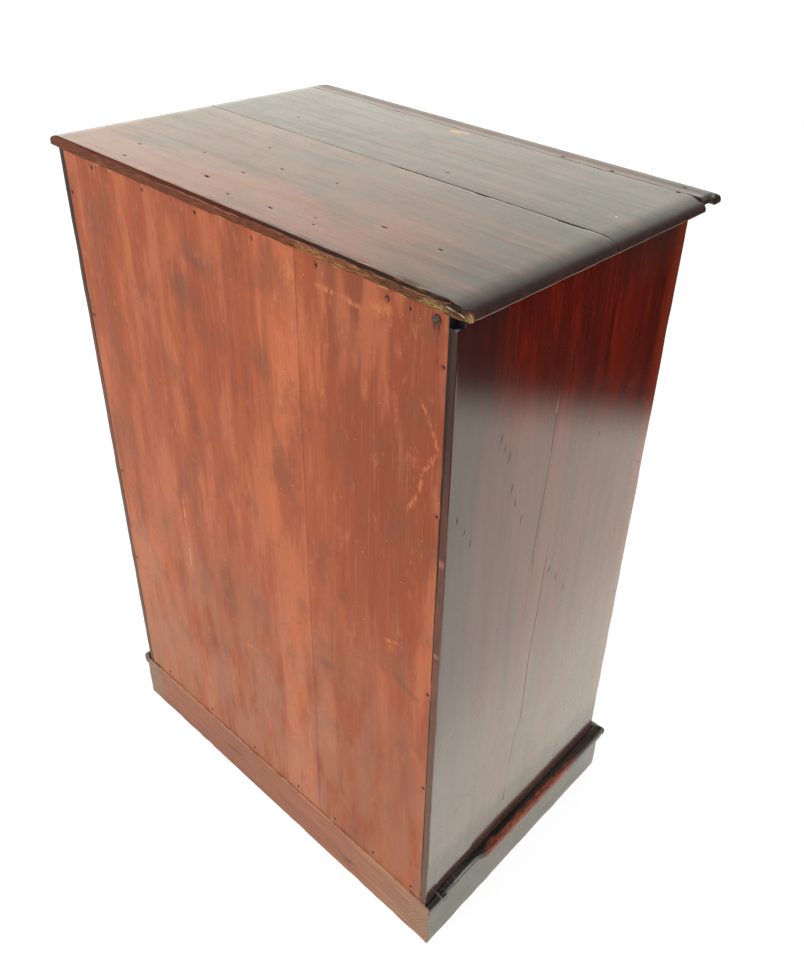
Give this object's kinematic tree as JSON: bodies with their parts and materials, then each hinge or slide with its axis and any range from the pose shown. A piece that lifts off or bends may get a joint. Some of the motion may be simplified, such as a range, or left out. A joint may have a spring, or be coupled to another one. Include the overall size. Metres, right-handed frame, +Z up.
{
  "type": "tabletop specimen cabinet",
  "caption": "Upright case with a bank of shallow sliding drawers for specimens, a moulded overhanging top, a nailed board back and a plinth with a cap moulding.",
  "frame": {"origin": "bottom centre of the whole cabinet, on the surface it stands on", "axes": "+Z up, drawer fronts face -Y, the boarded back faces +Y, +X is to the right seen from the front"},
  "size_m": [0.4404, 0.2954, 0.64],
  "materials": {
    "case_mahogany_stain": "glossy dark red mahogany stain under old varnish on pine",
    "top_mahogany_stain": "glossy dark red-brown stain, worn and nicked",
    "plinth_mahogany_stain": "glossy dark red-brown stain, chipped edges",
    "drawer_front_mahogany_stain": "glossy dark red mahogany stain",
    "knob_mahogany_stain": "turned wood, dark glossy stain",
    "back_red_wash": "matt brick-red wash on pine",
    "raw_pine": "bare planed pine, aged",
    "iron_nail": "dull dark iron"
  },
  "bodies": {
    "case": {"case_side_left": "case_mahogany_stain", "case_side_right": "case_mahogany_stain", "base_board": "case_mahogany_stain", "top_rail_front": "case_mahogany_stain", "top_rail_back": "raw_pine", "top_rear_board": "top_mahogany_stain", "top_front_board": "top_mahogany_stain", "top_front_strip": "top_mahogany_stain", "back_board_left": "back_red_wash", "back_board_narrow": "back_red_wash", "back_board_wide": "back_red_wash", "plinth_back_rail": "back_red_wash", "plinth_left": "plinth_mahogany_stain", "plinth_right": "plinth_mahogany_stain", "plinth_front": "plinth_mahogany_stain", "moulding_left": "plinth_mahogany_stain", "moulding_right": "plinth_mahogany_stain", "moulding_front": "plinth_mahogany_stain", "drawer_runners": "raw_pine", "back_nails": "iron_nail"},
    "drawer_1": {"drawer_1_front": "drawer_front_mahogany_stain", "drawer_1_sides": "raw_pine", "drawer_1_back": "raw_pine", "drawer_1_bottom": "raw_pine", "drawer_1_knobs": "knob_mahogany_stain"},
    "drawer_2": {"drawer_2_front": "drawer_front_mahogany_stain", "drawer_2_sides": "raw_pine", "drawer_2_back": "raw_pine", "drawer_2_bottom": "raw_pine", "drawer_2_knobs": "knob_mahogany_stain"},
    "drawer_3": {"drawer_3_front": "drawer_front_mahogany_stain", "drawer_3_sides": "raw_pine", "drawer_3_back": "raw_pine", "drawer_3_bottom": "raw_pine", "drawer_3_knobs": "knob_mahogany_stain"},
    "drawer_4": {"drawer_4_front": "drawer_front_mahogany_stain", "drawer_4_sides": "raw_pine", "drawer_4_back": "raw_pine", "drawer_4_bottom": "raw_pine", "drawer_4_knobs": "knob_mahogany_stain"},
    "drawer_5": {"drawer_5_front": "drawer_front_mahogany_stain", "drawer_5_sides": "raw_pine", "drawer_5_back": "raw_pine", "drawer_5_bottom": "raw_pine", "drawer_5_knobs": "knob_mahogany_stain"},
    "drawer_6": {"drawer_6_front": "drawer_front_mahogany_stain", "drawer_6_sides": "raw_pine", "drawer_6_back": "raw_pine", "drawer_6_bottom": "raw_pine", "drawer_6_knobs": "knob_mahogany_stain"},
    "drawer_7": {"drawer_7_front": "drawer_front_mahogany_stain", "drawer_7_sides": "raw_pine", "drawer_7_back": "raw_pine", "drawer_7_bottom": "raw_pine", "drawer_7_knobs": "knob_mahogany_stain"},
    "drawer_8": {"drawer_8_front": "drawer_front_mahogany_stain", "drawer_8_sides": "raw_pine", "drawer_8_back": "raw_pine", "drawer_8_bottom": "raw_pine", "drawer_8_knobs": "knob_mahogany_stain"}
  },
  "joints": [
    {"name": "drawer_1_slide", "type": "slide", "parent": "case", "child": "drawer_1", "axis": [0, -1, 0], "range_m": [0, 0.19]},
    {"name": "drawer_2_slide", "type": "slide", "parent": "case", "child": "drawer_2", "axis": [0, -1, 0], "range_m": [0, 0.19]},
    {"name": "drawer_3_slide", "type": "slide", "parent": "case", "child": "drawer_3", "axis": [0, -1, 0], "range_m": [0, 0.19]},
    {"name": "drawer_4_slide", "type": "slide", "parent": "case", "child": "drawer_4", "axis": [0, -1, 0], "range_m": [0, 0.19]},
    {"name": "drawer_5_slide", "type": "slide", "parent": "case", "child": "drawer_5", "axis": [0, -1, 0], "range_m": [0, 0.19]},
    {"name": "drawer_6_slide", "type": "slide", "parent": "case", "child": "drawer_6", "axis": [0, -1, 0], "range_m": [0, 0.19]},
    {"name": "drawer_7_slide", "type": "slide", "parent": "case", "child": "drawer_7", "axis": [0, -1, 0], "range_m": [0, 0.19]},
    {"name": "drawer_8_slide", "type": "slide", "parent": "case", "child": "drawer_8", "axis": [0, -1, 0], "range_m": [0, 0.19]}
  ]
}
